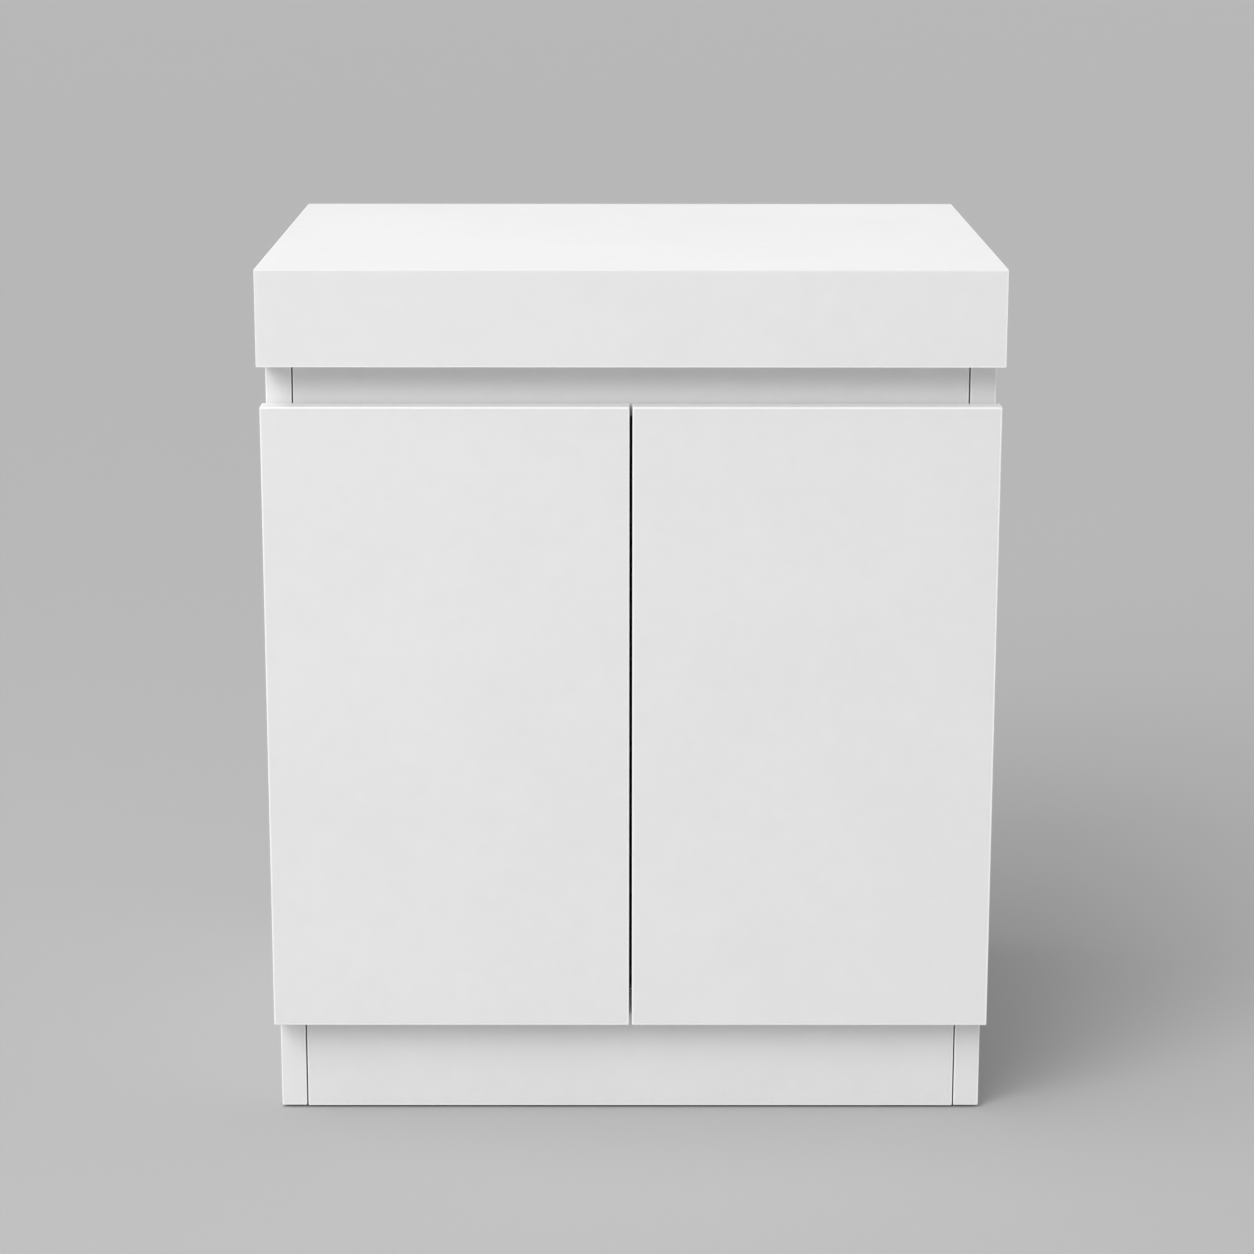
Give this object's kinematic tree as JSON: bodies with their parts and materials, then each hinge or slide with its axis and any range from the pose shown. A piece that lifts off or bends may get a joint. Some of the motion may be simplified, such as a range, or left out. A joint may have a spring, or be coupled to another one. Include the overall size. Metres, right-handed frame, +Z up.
{
  "type": "aquarium stand cabinet",
  "caption": "Handleless cabinet that carries an aquarium: thick overhanging top, finger groove, full-overlay doors on concealed linkage hinges, flush plinth, hose grommets in the back.",
  "frame": {"origin": "on the floor, under the middle of the cabinet's overall box", "axes": "+Z up, front with the doors towards -Y, +X to the right seen from the front"},
  "size_m": [0.6, 0.49, 0.719],
  "materials": {
    "white_laminate": "particle board faced with matt white laminate",
    "inner_laminate": "particle board faced with plain white melamine",
    "plated_steel": "nickel-plated pressed steel",
    "zinc_steel": "zinc-plated steel",
    "grommet_plastic": "black moulded plastic",
    "bumper_rubber": "soft translucent bumper",
    "glide_plastic": "grey moulded plastic"
  },
  "bodies": {
    "root": {"top_board": "white_laminate", "top_apron_front": "white_laminate", "top_apron_back": "white_laminate", "top_apron_left": "white_laminate", "top_apron_right": "white_laminate", "top_soffit": "white_laminate", "side_panel_left": "white_laminate", "side_panel_right": "white_laminate", "front_rail": "white_laminate", "plinth_board": "white_laminate", "top_rib_left": "inner_laminate", "top_rib_right": "inner_laminate", "bottom_panel": "inner_laminate", "back_panel": "inner_laminate", "bracket_front_left": "zinc_steel", "bracket_rear_left": "zinc_steel", "bracket_front_right": "zinc_steel", "bracket_rear_right": "zinc_steel", "grommet_left": "grommet_plastic", "grommet_right": "grommet_plastic", "glide_front_left": "glide_plastic", "glide_rear_left": "glide_plastic", "glide_front_right": "glide_plastic", "glide_rear_right": "glide_plastic", "hinge_lower_left_arm": "plated_steel", "hinge_lower_left_mounting_plate": "zinc_steel", "hinge_upper_left_arm": "plated_steel", "hinge_upper_left_mounting_plate": "zinc_steel", "hinge_lower_right_arm": "plated_steel", "hinge_lower_right_mounting_plate": "zinc_steel", "hinge_upper_right_arm": "plated_steel", "hinge_upper_right_mounting_plate": "zinc_steel"},
    "left_outer_links": {"hinge_lower_left_outer_link": "plated_steel", "hinge_upper_left_outer_link": "plated_steel"},
    "left_inner_links": {"hinge_lower_left_inner_link": "plated_steel", "hinge_upper_left_inner_link": "plated_steel"},
    "left_door": {"door_left": "white_laminate", "hinge_lower_left_cup": "plated_steel", "hinge_upper_left_cup": "plated_steel", "bumper_lower_left": "bumper_rubber", "bumper_upper_left": "bumper_rubber"},
    "right_outer_links": {"hinge_lower_right_outer_link": "plated_steel", "hinge_upper_right_outer_link": "plated_steel"},
    "right_inner_links": {"hinge_lower_right_inner_link": "plated_steel", "hinge_upper_right_inner_link": "plated_steel"},
    "right_door": {"door_right": "white_laminate", "hinge_lower_right_cup": "plated_steel", "hinge_upper_right_cup": "plated_steel", "bumper_lower_right": "bumper_rubber", "bumper_upper_right": "bumper_rubber"}
  },
  "joints": [
    {"name": "left_outer_link_turn", "type": "hinge", "parent": "root", "child": "left_outer_links", "pos_m": [-0.2507, -0.19207, 0.3445], "axis": [0, 0, 1], "range_deg": [0, 25.9]},
    {"name": "left_door_swing", "type": "hinge", "parent": "left_outer_links", "child": "left_door", "pos_m": [-0.28743, -0.2176, 0.3445], "axis": [0, 0, -1], "range_deg": [0, 120.9]},
    {"name": "left_inner_link_turn", "type": "hinge", "parent": "root", "child": "left_inner_links", "pos_m": [-0.26743, -0.21599, 0.3445], "axis": [0, 0, 1], "range_deg": [0, 42.4]},
    {"name": "right_outer_link_turn", "type": "hinge", "parent": "root", "child": "right_outer_links", "pos_m": [0.2507, -0.19207, 0.3445], "axis": [0, 0, -1], "range_deg": [0, 25.9]},
    {"name": "right_door_swing", "type": "hinge", "parent": "right_outer_links", "child": "right_door", "pos_m": [0.28743, -0.2176, 0.3445], "axis": [0, 0, 1], "range_deg": [0, 120.9]},
    {"name": "right_inner_link_turn", "type": "hinge", "parent": "root", "child": "right_inner_links", "pos_m": [0.26743, -0.21599, 0.3445], "axis": [0, 0, -1], "range_deg": [0, 42.4]}
  ],
  "couplings": [
    {"joint": "left_outer_link_turn", "follows": "left_door_swing", "ratio": 0.21423},
    {"joint": "left_inner_link_turn", "follows": "left_door_swing", "ratio": 0.3507},
    {"joint": "right_outer_link_turn", "follows": "right_door_swing", "ratio": 0.21423},
    {"joint": "right_inner_link_turn", "follows": "right_door_swing", "ratio": 0.3507}
  ]
}
